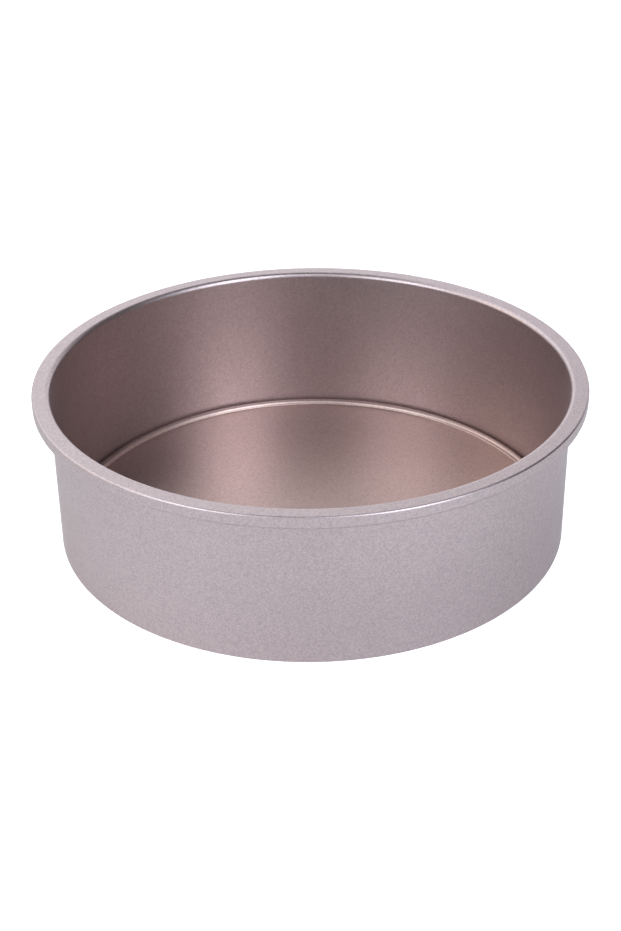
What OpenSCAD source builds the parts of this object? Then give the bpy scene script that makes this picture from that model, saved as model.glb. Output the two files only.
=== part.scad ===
// Round cake pan with a loose bottom: a drawn sheet ring with a turned-in ledge, and a flat
// base plate with a pressed bead that lies on the ledge and lifts out through the top.
// +Z is up, the origin is the centre of the foot, and the foot stands at Z 0.

/* [Pan] */
// Diameter inside the wall
inside_d = 203.2; // [150:0.1:260]
// Height from the foot to the top of the rim
pan_h = 65; // [45:0.1:90]
// Thickness of the ring's sheet
ring_t = 0.5; // [0.4:0.05:0.6]

/* [Rim] */
// Width of the rim, from the inside of the wall to its outer face
rim_w = 7; // [6:0.1:12]
// Radius of the bend from the wall into the rim, on its upper face
rim_bend_r = 1.9; // [1:0.05:2.4]
// Radius of the rim's outer shoulder
shoulder_r = 0.7; // [0.65:0.05:2]
// Height of the rim's outer lip
lip_h = 5; // [3.2:0.1:8]
// Radius of the curl that turns the lip's edge inwards
curl_r = 1; // [0.95:0.05:1.8]
// Flat length of the turned-in edge
curl_edge_w = 1.2; // [0.4:0.1:2]

/* [Foot and ledge] */
// Width of the ledge, from the inside of the wall to the edge of its hole
ledge_w = 8.6; // [5:0.1:14]
// Radius of the corner between the foot and the wall
foot_r = 1; // [0.95:0.05:2]

/* [Loose base] */
// Thickness of the base's sheet
base_t = 0.5; // [0.4:0.05:0.9]
// Gap between the base and the wall, all round
base_gap = 0.3; // [0.2:0.05:0.8]
// Outer radius of the bead pressed along the base's edge
bead_r = 1.7; // [1:0.05:2.4]
// Radius of the hollow where the plate turns up into the bead
bead_root_r = 0.6; // [0.3:0.05:1.5]

/* [Colours] */
// Colour of the ring's coating
ring_colour = "#b8abb0"; // [#b8abb0, #a89a94, #8f8580]
// Colour of the base's coating
base_colour = "#a9989a"; // [#a9989a, #9a8c88, #857a76]

/* [Hidden] */

// Facets on the outline and in the small bends
$fn = 240;
bend_fn = 64;

// The wall and the rim, measured from the axis
wall_in = inside_d / 2;
wall_out = wall_in + ring_t;
rim_out = wall_in + rim_w;

// The foot corner's inner radius, and the ledge's hole
foot_in_r = foot_r - ring_t;
hole_r = wall_in - ledge_w;

// The base lies on the ledge. Its cut edge ends where the foot corner's bend begins, and its
// bead is centred on the plate's upper face, or on the cut edge where that is higher.
plate_low = ring_t;
plate_top = plate_low + base_t;
edge_z = ring_t + foot_in_r;
bead_z = max(plate_top, edge_z);
base_out = wall_in - base_gap;
bead_mid = base_out - bead_r;
bead_in_r = bead_r - base_t;

// The root bend touches the plate's upper face and the bead, each at a tangent
root_z = plate_top + bead_root_r;
root_dist = bead_r + bead_root_r;
root_mid = bead_mid - sqrt(pow(root_dist, 2) - pow(root_z - bead_z, 2));

// How far a cut reaches past the sheet it cuts
overrun = 1;

// The turns of the ring's bends, in degrees
half_turn = 180;
quarter_turn = half_turn / 2;

// A straight run of sheet in the outline, between two corners
module run(low, high) {
    translate(low) square(high - low);
}

// A wedge of the plane from angle a0 to a1, reaching past radius r
module wedge(r, a0, a1) {
    reach = 2 * r;
    mid = (a0 + a1) / 2;
    polygon([
        [0, 0],
        reach * [cos(a0), sin(a0)],
        reach * [cos((a0 + mid) / 2), sin((a0 + mid) / 2)],
        reach * [cos(mid), sin(mid)],
        reach * [cos((mid + a1) / 2), sin((mid + a1) / 2)],
        reach * [cos(a1), sin(a1)]
    ]);
}

// A bend of sheet in the outline: a ring of radius r outside and r - t inside, from a0 to a1
module bend(mid, r, t, a0, a1) {
    translate(mid) intersection() {
        difference() {
            circle(r, $fn = bend_fn);
            circle(r - t, $fn = bend_fn);
        }
        wedge(r, a0, a1);
    }
}

// The ring's outline, from the ledge up the wall and over the rim to the curled edge
module ring_outline() {
    run([hole_r, 0], [wall_in - foot_in_r, ring_t]);
    bend([wall_in - foot_in_r, foot_r], foot_r, ring_t, -quarter_turn, 0);
    run([wall_in, foot_r], [wall_out, pan_h - rim_bend_r]);
    bend([wall_in + rim_bend_r, pan_h - rim_bend_r], rim_bend_r, ring_t, quarter_turn, half_turn);
    run([wall_in + rim_bend_r, pan_h - ring_t], [rim_out - shoulder_r, pan_h]);
    bend([rim_out - shoulder_r, pan_h - shoulder_r], shoulder_r, ring_t, 0, quarter_turn);
    run([rim_out - ring_t, pan_h - lip_h + curl_r], [rim_out, pan_h - shoulder_r]);
    bend([rim_out - curl_r, pan_h - lip_h + curl_r], curl_r, ring_t, -quarter_turn, 0);
    run([rim_out - curl_r - curl_edge_w, pan_h - lip_h], [rim_out - curl_r, pan_h - lip_h + ring_t]);
}

// The base's outline: the plate, its root and the bead as one filled shape, less the hollow below
module base_outline() {
    root = [root_mid, root_z];
    bead = [bead_mid, bead_z];
    difference() {
        union() {
            run([0, plate_low], [root_mid, plate_top]);
            difference() {
                polygon([root, [root_mid, plate_low], [base_out, plate_low], [base_out, bead_z], bead]);
                translate(root) circle(bead_root_r, $fn = bend_fn);
            }
            translate(bead) circle(bead_r, $fn = bend_fn);
        }
        difference() {
            polygon([root, [root_mid, -overrun], [bead_mid + bead_in_r, -overrun],
                     [bead_mid + bead_in_r, bead_z], bead]);
            translate(root) circle(bead_root_r + base_t, $fn = bend_fn);
        }
        translate(bead) circle(bead_in_r, $fn = bend_fn);
        run([bead_mid, -overrun], [base_out + overrun, edge_z]);
    }
}

module pan_ring() {
    color(ring_colour) rotate_extrude() ring_outline();
}

module loose_base() {
    color(base_colour) rotate_extrude() base_outline();
}

pan_ring();
loose_base();
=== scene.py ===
"""A loose-bottom cake pan in a champagne non-stick coating, on a pale studio floor.

The ring and the loose base are each one strip of sheet carried round the pan's axis. The pan's
sizes are in millimetres, as the construction has them, and the studio's are in metres.
"""

import bpy
import numpy as np
from mathutils import Matrix, Vector


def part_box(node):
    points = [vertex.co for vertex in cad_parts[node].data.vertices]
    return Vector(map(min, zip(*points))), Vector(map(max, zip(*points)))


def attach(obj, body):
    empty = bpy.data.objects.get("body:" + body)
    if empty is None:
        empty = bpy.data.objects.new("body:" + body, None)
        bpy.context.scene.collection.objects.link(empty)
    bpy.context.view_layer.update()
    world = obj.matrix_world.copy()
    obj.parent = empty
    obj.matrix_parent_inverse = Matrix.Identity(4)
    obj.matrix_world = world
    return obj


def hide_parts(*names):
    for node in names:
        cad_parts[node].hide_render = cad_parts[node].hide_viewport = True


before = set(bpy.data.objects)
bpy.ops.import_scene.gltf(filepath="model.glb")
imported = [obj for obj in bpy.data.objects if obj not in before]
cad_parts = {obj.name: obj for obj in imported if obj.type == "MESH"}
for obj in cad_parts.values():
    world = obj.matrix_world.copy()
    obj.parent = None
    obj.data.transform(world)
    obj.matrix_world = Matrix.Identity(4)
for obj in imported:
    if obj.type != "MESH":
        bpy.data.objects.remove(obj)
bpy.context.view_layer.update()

MM = 0.001

# The pan's height and the rim's outer radius, from the high corner of the ring's box in the frame
RING_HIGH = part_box("pan_ring")[1]
PAN_H = round(RING_HIGH.z / MM, 3)
RIM_R = round(RING_HIGH.x / MM, 3)

# The ring's other sizes
SHEET = 0.5
RIM_W = 7.0
INSIDE_R = RIM_R - RIM_W
RIM_BEND_R = 1.9
SHOULDER_R = 0.7
LIP_H = 5.0
CURL_R = 1.0
CURL_EDGE_W = 1.2
LEDGE_W = 8.6
FOOT_R = 1.0

# The loose base's sizes
BASE_GAP = 0.3
BEAD_R = 1.7
BEAD_ROOT_R = 0.6

# The rounding along each cut edge of the sheet
CUT_EDGE_R = 0.16

# How finely the strips are cut: steps round the axis, in a cut edge's corner and along the
# straight runs, and degrees a step in a bend
ROUND_STEPS = 720
CUT_EDGE_STEPS = 3
PLATE_STEPS = 16
WALL_STEPS = 2
BEND_STEP = 7.5

# The turns of the sheet's bends, in degrees
QUARTER_TURN = 90
HALF_TURN = 180

# The coating's colour on each piece, as red, green and blue
RING_CHAMPAGNE = (0.46, 0.38, 0.38)
BASE_CHAMPAGNE = (0.52, 0.39, 0.35)

# The coating's fleck and the slow drift of its sheen: their sizes in millimetres, the share by
# which a fleck is lighter or darker at most, how many finer drifts the drift holds, and the
# least and greatest roughness
FLECK_SIZE = 0.45
FLECK_CONTRAST = 0.18
DRIFT_SIZE = 9.0
DRIFT_DETAIL = 3.0
SATIN = (0.36, 0.44)

# The photograph's height in pixels, and its camera: the focal length in pixels, the distance in
# metres from the rim's middle, the rise above the rim's plane and the roll in degrees, and how
# far its axis is aimed to the right of the rim's middle and below it, in pixels
PHOTO_TALL = 931
FOCAL = 1600.0
CAMERA_AWAY = 0.6303
CAMERA_RISE = 26.22
CAMERA_ROLL = -0.79
AIM_RIGHT = 0.44
AIM_BELOW = 91.8
SENSOR_MM = 36.0
NEAREST_SEEN = 0.01

# The floor's half width in metres and its colour, the light that it seems to give to the camera
# and to mirrored rays, and the share of the room's light that falls on it, where 1 is white
FLOOR_HALF = 6.0
FLOOR_COLOUR = (0.8, 0.8, 0.8)
SEEN_LIFT = 0.6
MIRRORED_LIFT = 0.05
DIM = 0.9

# How far the softboxes stand from about the pan's middle, and how high that is, in metres
SOFTBOX_AWAY = 1.3
PAN_MIDDLE = 0.03
# Each softbox's azimuth from the camera's side and its height above the floor in degrees, its
# width and length in metres, and its light in red, green and blue
SOFTBOXES = {
    "left_softbox": (-48, 19, 0.86, 1.58, (2.8, 3.1, 3.35)),
    "right_softbox": (39.5, 32, 0.64, 1.74, (4.5, 5.0, 5.55)),
}

# The room's light from every side, and its zones: azimuth and height of the middle, the angles
# from it where the zone begins and where it is full, and the light that it adds or takes away
ROOM = (0.57, 0.56, 0.6)
ZONES = {
    "window_behind_left": (224, 45, 51, 0, (1.75, 1.9, 2.0)),
    "white_card_behind_right": (160, 10, 32, 6, (1.38, 1.46, 1.58)),
    "low_card_at_the_left": (263, 20, 26, 6, (1.1, 0.95, 0.7)),
    "low_light_at_the_back": (190, 2, 22, 2, (1.2, 1.24, 1.3)),
    "shaded_middle_of_the_back": (190, 35, 69, 46, (-0.48, -0.51, -0.55)),
}
# Its dark zones, with the share of the light that each takes away
DARK_ZONES = {
    "dark_side": (79, 11, 58, 36, 0.96),
    "gap_between_the_softboxes": (24, 18, 23, 7, 0.7),
    "dark_ceiling": (0, 90, 30, 20, 1.0),
}

# The places of a Mix node's two colours among its inputs, and of its colour among its outputs
MIX_FIRST, MIX_SECOND, MIX_RESULT = 6, 7, 2


# Sheet metal

def walk(start, moves):
    """Points and left-hand normals along a strip's centreline, walked from start towards +r.

    A move ("run", length, steps) goes straight on: point = start + heading * distance. A move
    ("turn", radius, degrees) follows a circle whose centre lies one radius to the left where
    the angle is positive, and to the right where it is negative.
    """
    here, heading = np.array(start, float), 0.0
    points, normals = [here[None]], [np.array([[0.0, 1.0]])]
    for kind, size, value in moves:
        left = np.array([-np.sin(heading), np.cos(heading)])
        if kind == "run":
            s = np.linspace(0.0, size, value + 1)[1:, None]
            line = here + s * np.array([left[1], -left[0]])
            side = np.broadcast_to(left, line.shape)
        else:
            turn = np.radians(value)
            steps = max(2, int(np.ceil(abs(value) / BEND_STEP)))
            a = heading + np.linspace(0.0, turn, steps + 1)[1:]
            side = np.stack([-np.sin(a), np.cos(a)], axis=1)
            line = here + np.sign(turn) * size * (left - side)
            heading += turn
        here = line[-1]
        points.append(line)
        normals.append(side)
    return np.concatenate(points), np.concatenate(normals)


def cut_edge(near, far, outward):
    """A strip's cut edge, from the face at near to the face at far, looking along outward.

    Each corner is a quarter circle: point = centre + radius * normal, where the normal swings
    from square to the face to along outward, and then on to square to the other face.
    """
    across = (far - near) / np.linalg.norm(far - near)
    a = np.linspace(0.0, np.pi / 2, CUT_EDGE_STEPS + 1)[:, None]
    first = -np.cos(a) * across + np.sin(a) * outward
    second = np.sin(a) * across + np.cos(a) * outward
    inset = CUT_EDGE_R * across
    back = CUT_EDGE_R * outward
    return (np.concatenate([near + inset - back + CUT_EDGE_R * first,
                            far - inset - back + CUT_EDGE_R * second]),
            np.concatenate([first, second]))


def strip(start, moves, from_axis):
    """The outline of a bent strip of sheet, in metres, with its normals: the centreline pushed
    half the sheet's thickness to the left, a cut edge, the centreline pushed to the right and
    followed back, and a cut edge again, or nothing where the strip begins on the axis.
    """
    line, side = walk(start, moves)
    half = SHEET / 2
    left, right = line + half * side, line - half * side
    ahead = np.stack([side[:, 1], -side[:, 0]], axis=1)
    end, end_normals = cut_edge(left[-1], right[-1], ahead[-1])
    left[-1] -= CUT_EDGE_R * ahead[-1]
    right[-1] -= CUT_EDGE_R * ahead[-1]
    if from_axis:
        outline = [left[:-1], end, right[-2::-1]]
        normals = [side[:-1], end_normals, -side[-2::-1]]
    else:
        begin, begin_normals = cut_edge(right[0], left[0], -ahead[0])
        outline = [left[1:-1], end, right[-2:0:-1], begin]
        normals = [side[1:-1], end_normals, -side[-2:0:-1], begin_normals]
    return np.concatenate(outline) * MM, np.concatenate(normals)


def carried_round(name, outline, normals, closed):
    """A mesh of the outline carried round the axis: x = r cos a, y = r sin a, z = z, for equal
    steps of a. A point on the axis is one vertex. closed joins the last point to the first.
    """
    a = np.linspace(0.0, 2 * np.pi, ROUND_STEPS, endpoint=False)
    round_axis = np.stack([np.cos(a), np.sin(a)], axis=1)

    def carried(rows):
        flat = rows[:, None, :1] * round_axis[None]
        return np.concatenate([flat, np.broadcast_to(rows[:, None, 1:], (*flat.shape[:2], 1))], axis=2)

    # A row on the axis keeps only its first vertex, and every step of the row uses that one
    on_axis = np.isclose(outline[:, 0], 0.0)
    keep = np.ones((len(outline), ROUND_STEPS), bool)
    keep[on_axis, 1:] = False
    first = np.concatenate([[0], np.cumsum(keep.sum(axis=1))[:-1]])
    here = first[:, None] + np.where(on_axis[:, None], 0, np.arange(ROUND_STEPS)[None])
    beside, above = np.roll(here, -1, axis=1), np.roll(here, -1, axis=0)
    quads = np.stack([here, above, np.roll(above, -1, axis=1), beside], axis=-1)
    quads = (quads if closed else quads[:-1]).reshape(-1, 4)

    # A quad that touches the axis is a triangle
    low_pole = quads[:, 0] == quads[:, 3]
    high_pole = quads[:, 1] == quads[:, 2]
    low_fan, high_fan = quads[low_pole][:, [0, 1, 2]], quads[high_pole][:, [0, 1, 3]]
    faces = quads[~(low_pole | high_pole)].tolist() + low_fan.tolist() + high_fan.tolist()

    mesh = bpy.data.meshes.new(name)
    mesh.from_pydata(carried(outline)[keep], [], faces)
    mesh.polygons.foreach_set("use_smooth", np.ones(len(mesh.polygons), bool))
    mesh.normals_split_custom_set_from_vertices(carried(normals)[keep])
    obj = bpy.data.objects.new(name, mesh)
    bpy.context.collection.objects.link(obj)
    return obj


def ring():
    """The ring's strip: the ledge, the foot's corner, the wall, the bend over into the flat
    rim, the shoulder, the lip, and the edge curled under.
    """
    half = SHEET / 2
    foot_in = FOOT_R - SHEET
    moves = [
        ("run", LEDGE_W - foot_in, 1),
        ("turn", foot_in + half, QUARTER_TURN),
        ("run", PAN_H - RIM_BEND_R - FOOT_R, WALL_STEPS),
        ("turn", RIM_BEND_R - half, -QUARTER_TURN),
        ("run", RIM_W - SHOULDER_R - RIM_BEND_R, 1),
        ("turn", SHOULDER_R - half, -QUARTER_TURN),
        ("run", LIP_H - SHOULDER_R - CURL_R, 1),
        ("turn", CURL_R - half, -QUARTER_TURN),
        ("run", CURL_EDGE_W, 1),
    ]
    outline, normals = strip((INSIDE_R - LEDGE_W, half), moves, from_axis=False)
    return carried_round("ring_sheet", outline, normals, closed=True)


def base():
    """The base's strip: the plate from the axis out, the root bend up, the bead over, and the
    cut edge down beside the wall. The root and the bead are two circles that touch: the sine of
    the angle between them is their difference in height over the sum of their radii.
    """
    half = SHEET / 2
    plate_top = 2 * SHEET
    edge_z = FOOT_R
    bead_z = max(plate_top, edge_z)
    bead_mid = INSIDE_R - BASE_GAP - BEAD_R
    rise = plate_top + BEAD_ROOT_R - bead_z
    apart = np.sqrt((BEAD_R + BEAD_ROOT_R) ** 2 - rise ** 2)
    lean = np.degrees(np.arctan2(rise, apart))
    moves = [
        ("run", bead_mid - apart, PLATE_STEPS),
        ("turn", BEAD_ROOT_R + half, QUARTER_TURN - lean),
        ("turn", BEAD_R - half, lean - HALF_TURN),
        ("run", bead_z - edge_z, 1),
    ]
    outline, normals = strip((0.0, SHEET + half), moves, from_axis=True)
    return carried_round("base_sheet", outline, normals, closed=False)


# Finishes

def champagne_coating(name, colour):
    """Satin champagne non-stick coating with a fine metallic fleck, on Object coordinates."""
    mat = bpy.data.materials.new(name)
    mat.use_nodes = True
    tree = mat.node_tree
    node, link = tree.nodes.new, tree.links.new
    shader = tree.nodes["Principled BSDF"]
    shader.inputs["Metallic"].default_value = 1.0
    place = node("ShaderNodeTexCoord").outputs["Object"]

    fleck = node("ShaderNodeTexVoronoi")
    fleck.inputs["Scale"].default_value = 1 / (FLECK_SIZE * MM)
    link(place, fleck.inputs["Vector"])
    grain = node("ShaderNodeMapRange")
    grain.inputs["To Min"].default_value = 1 - FLECK_CONTRAST
    grain.inputs["To Max"].default_value = 1 + FLECK_CONTRAST
    link(fleck.outputs["Color"], grain.inputs["Value"])
    tint = node("ShaderNodeMix")
    tint.data_type = "RGBA"
    tint.blend_type = "MULTIPLY"
    tint.inputs["Factor"].default_value = 1.0
    tint.inputs[MIX_FIRST].default_value = (*colour, 1.0)
    link(grain.outputs["Result"], tint.inputs[MIX_SECOND])
    link(tint.outputs[MIX_RESULT], shader.inputs["Base Color"])

    drift = node("ShaderNodeTexNoise")
    drift.inputs["Scale"].default_value = 1 / (DRIFT_SIZE * MM)
    drift.inputs["Detail"].default_value = DRIFT_DETAIL
    link(place, drift.inputs["Vector"])
    sheen = node("ShaderNodeMapRange")
    sheen.inputs["To Min"].default_value, sheen.inputs["To Max"].default_value = SATIN
    link(drift.outputs["Fac"], sheen.inputs["Value"])
    link(sheen.outputs["Result"], shader.inputs["Roughness"])
    return mat


def dress(piece, body, node, slot_name, colour):
    """Coats a piece, lets it ride on its body, and puts it in the place of its CAD node."""
    piece.data.materials.append(champagne_coating(slot_name, colour))
    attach(piece, body)
    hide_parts(node)


dress(ring(), "ring", "pan_ring", "ring_coating", RING_CHAMPAGNE)
dress(base(), "base", "loose_base", "base_coating", BASE_CHAMPAGNE)


# Camera

def spun(v, axis, angle):
    """v turned about a unit axis: its part across the axis turns, and its part along it stays."""
    return (v * np.cos(angle) + np.cross(axis, v) * np.sin(angle)
            + axis * (axis @ v) * (1 - np.cos(angle)))


def studio_camera():
    """The photograph's camera. It looks at the rim's middle, is rolled a little, and is then
    aimed below it, so that nothing needs a shift.
    """
    rise, roll = np.radians(CAMERA_RISE), np.radians(CAMERA_ROLL)
    offset = CAMERA_AWAY * np.array([0.0, -np.cos(rise), np.sin(rise)])
    ahead = -offset / np.linalg.norm(offset)
    right = np.array([1.0, 0.0, 0.0])
    up = np.cross(right, ahead)
    right, up = (np.cos(roll) * right + np.sin(roll) * up,
                 np.cos(roll) * up - np.sin(roll) * right)
    yaw, pitch = -np.arctan(AIM_RIGHT / FOCAL), -np.arctan(AIM_BELOW / FOCAL)
    ahead, right = spun(ahead, up, yaw), spun(right, up, yaw)
    ahead, up = spun(ahead, right, pitch), spun(up, right, pitch)

    data = bpy.data.cameras.new("studio_camera")
    data.sensor_width = SENSOR_MM
    data.lens = FOCAL / PHOTO_TALL * SENSOR_MM
    data.clip_start = NEAREST_SEEN
    cam = bpy.data.objects.new("studio_camera", data)
    bpy.context.collection.objects.link(cam)
    place = np.array([0.0, 0.0, PAN_H * MM]) + offset
    cam.matrix_world = Matrix([(*right, 0.0), (*up, 0.0), (*-ahead, 0.0), (*place, 1.0)]).transposed()
    bpy.context.scene.camera = cam


studio_camera()


# Studio

def facing(azimuth, height):
    """The unit vector at an azimuth from the camera's side, positive to the right, and a height
    above the floor, both in degrees.
    """
    a, h = np.radians(azimuth), np.radians(height)
    return np.array([np.cos(h) * np.sin(a), -np.cos(h) * np.cos(a), np.sin(h)])


def softbox(name, azimuth, height, width, tall, light):
    """A rectangular lamp SOFTBOX_AWAY metres from the pan, turned to it. light is its level in
    red, green and blue, and its power is pi * area * the greatest of the three.
    """
    level = max(light)
    data = bpy.data.lights.new(name, "AREA")
    data.shape = "RECTANGLE"
    data.size, data.size_y = width, tall
    data.energy = np.pi * width * tall * level
    data.color = np.array(light) / level
    lamp = bpy.data.objects.new(name, data)
    bpy.context.collection.objects.link(lamp)
    way = Vector(facing(azimuth, height))
    place = way * SOFTBOX_AWAY + Vector((0.0, 0.0, PAN_MIDDLE))
    lamp.matrix_world = Matrix.Translation(place) @ (-way).to_track_quat("-Z", "Y").to_matrix().to_4x4()


def maths(tree, kind, first, second):
    """A Math node of the kind, fed by sockets or plain numbers; returns its output."""
    node = tree.nodes.new("ShaderNodeMath")
    node.operation = kind
    for socket, value in zip(node.inputs, (first, second)):
        if isinstance(value, bpy.types.NodeSocket):
            tree.links.new(value, socket)
        else:
            socket.default_value = value
    return node.outputs[0]


def background_rays(tree):
    """Two outputs: 1 on the camera's own rays, and 1 on every ray that shows the background,
    which are the camera's and those mirrored or let through.
    """
    path = tree.nodes.new("ShaderNodeLightPath").outputs
    bounced = maths(tree, "MAXIMUM", path["Is Glossy Ray"], path["Is Transmission Ray"])
    return path["Is Camera Ray"], maths(tree, "MAXIMUM", path["Is Camera Ray"], bounced)


def studio_floor():
    """A flat pale floor. It takes the pan's shadow, and is lifted to white for the camera."""
    corners = [(-FLOOR_HALF, -FLOOR_HALF, 0), (FLOOR_HALF, -FLOOR_HALF, 0),
               (FLOOR_HALF, FLOOR_HALF, 0), (-FLOOR_HALF, FLOOR_HALF, 0)]
    mesh = bpy.data.meshes.new("studio_floor")
    mesh.from_pydata(corners, [], [(0, 1, 2, 3)])
    floor = bpy.data.objects.new("studio_floor", mesh)
    bpy.context.collection.objects.link(floor)
    mat = bpy.data.materials.new("studio_floor")
    mat.use_nodes = True
    tree = mat.node_tree
    shader = tree.nodes["Principled BSDF"]
    shader.inputs["Base Color"].default_value = (*FLOOR_COLOUR, 1.0)
    shader.inputs["Roughness"].default_value = 1.0
    shader.inputs["Specular IOR Level"].default_value = 0.0
    shader.inputs["Emission Color"].default_value = (1.0, 1.0, 1.0, 1.0)
    camera, shown = background_rays(tree)
    lift = maths(tree, "ADD", maths(tree, "MULTIPLY", shown, MIRRORED_LIFT),
                 maths(tree, "MULTIPLY", camera, SEEN_LIFT - MIRRORED_LIFT))
    tree.links.new(lift, shader.inputs["Emission Strength"])
    floor.data.materials.append(mat)


def zone(tree, ray, azimuth, height, begins, full):
    """A smooth step of the cosine between the ray and one direction, from 0 where the angle
    between them is begins to 1 where it is full, in degrees.
    """
    dot = tree.nodes.new("ShaderNodeVectorMath")
    dot.operation = "DOT_PRODUCT"
    tree.links.new(ray, dot.inputs[0])
    dot.inputs[1].default_value = facing(azimuth, height)
    step = tree.nodes.new("ShaderNodeMapRange")
    step.interpolation_type = "SMOOTHSTEP"
    tree.links.new(dot.outputs["Value"], step.inputs["Value"])
    step.inputs["From Min"].default_value = np.cos(np.radians(begins))
    step.inputs["From Max"].default_value = np.cos(np.radians(full))
    return step.outputs["Result"]


def scaled(tree, vector, scale):
    """A vector, as a socket or three numbers, times a socket's value."""
    node = tree.nodes.new("ShaderNodeVectorMath")
    node.operation = "SCALE"
    if isinstance(vector, bpy.types.NodeSocket):
        tree.links.new(vector, node.inputs[0])
    else:
        node.inputs[0].default_value = vector
    tree.links.new(scale, node.inputs["Scale"])
    return node.outputs[0]


def added(tree, first, second):
    """The sum of two vector sockets."""
    node = tree.nodes.new("ShaderNodeVectorMath")
    tree.links.new(first, node.inputs[0])
    tree.links.new(second, node.inputs[1])
    return node.outputs[0]


def studio_world():
    """The room, its zones added, then dimmed zone by zone. The camera sees plain white on every
    side, and the rays that light the floor see the room a little dimmed.
    """
    world = bpy.context.scene.world or bpy.data.worlds.new("studio_world")
    bpy.context.scene.world = world
    world.use_nodes = True
    tree = world.node_tree
    back = tree.nodes["Background"]
    ray = tree.nodes.new("ShaderNodeTexCoord").outputs["Generated"]
    room = tree.nodes.new("ShaderNodeCombineXYZ")
    for socket, value in zip(room.inputs, ROOM):
        socket.default_value = value
    light = room.outputs[0]
    for *place, colour in ZONES.values():
        light = added(tree, light, scaled(tree, colour, zone(tree, ray, *place)))
    for *place, share in DARK_ZONES.values():
        taken = maths(tree, "MULTIPLY", zone(tree, ray, *place), share)
        light = scaled(tree, light, maths(tree, "SUBTRACT", 1.0, taken))

    camera, shown = background_rays(tree)
    colour = tree.nodes.new("ShaderNodeMix")
    colour.data_type = "RGBA"
    tree.links.new(camera, colour.inputs["Factor"])
    tree.links.new(light, colour.inputs[MIX_FIRST])
    colour.inputs[MIX_SECOND].default_value = (1.0, 1.0, 1.0, 1.0)
    tree.links.new(colour.outputs[MIX_RESULT], back.inputs["Color"])
    strength = maths(tree, "ADD", maths(tree, "MULTIPLY", shown, 1 - DIM), DIM)
    tree.links.new(strength, back.inputs["Strength"])


studio_floor()
studio_world()
for name, values in SOFTBOXES.items():
    softbox(name, *values)

bpy.context.scene.view_settings.view_transform = "Standard"

bpy.context.view_layer.update()
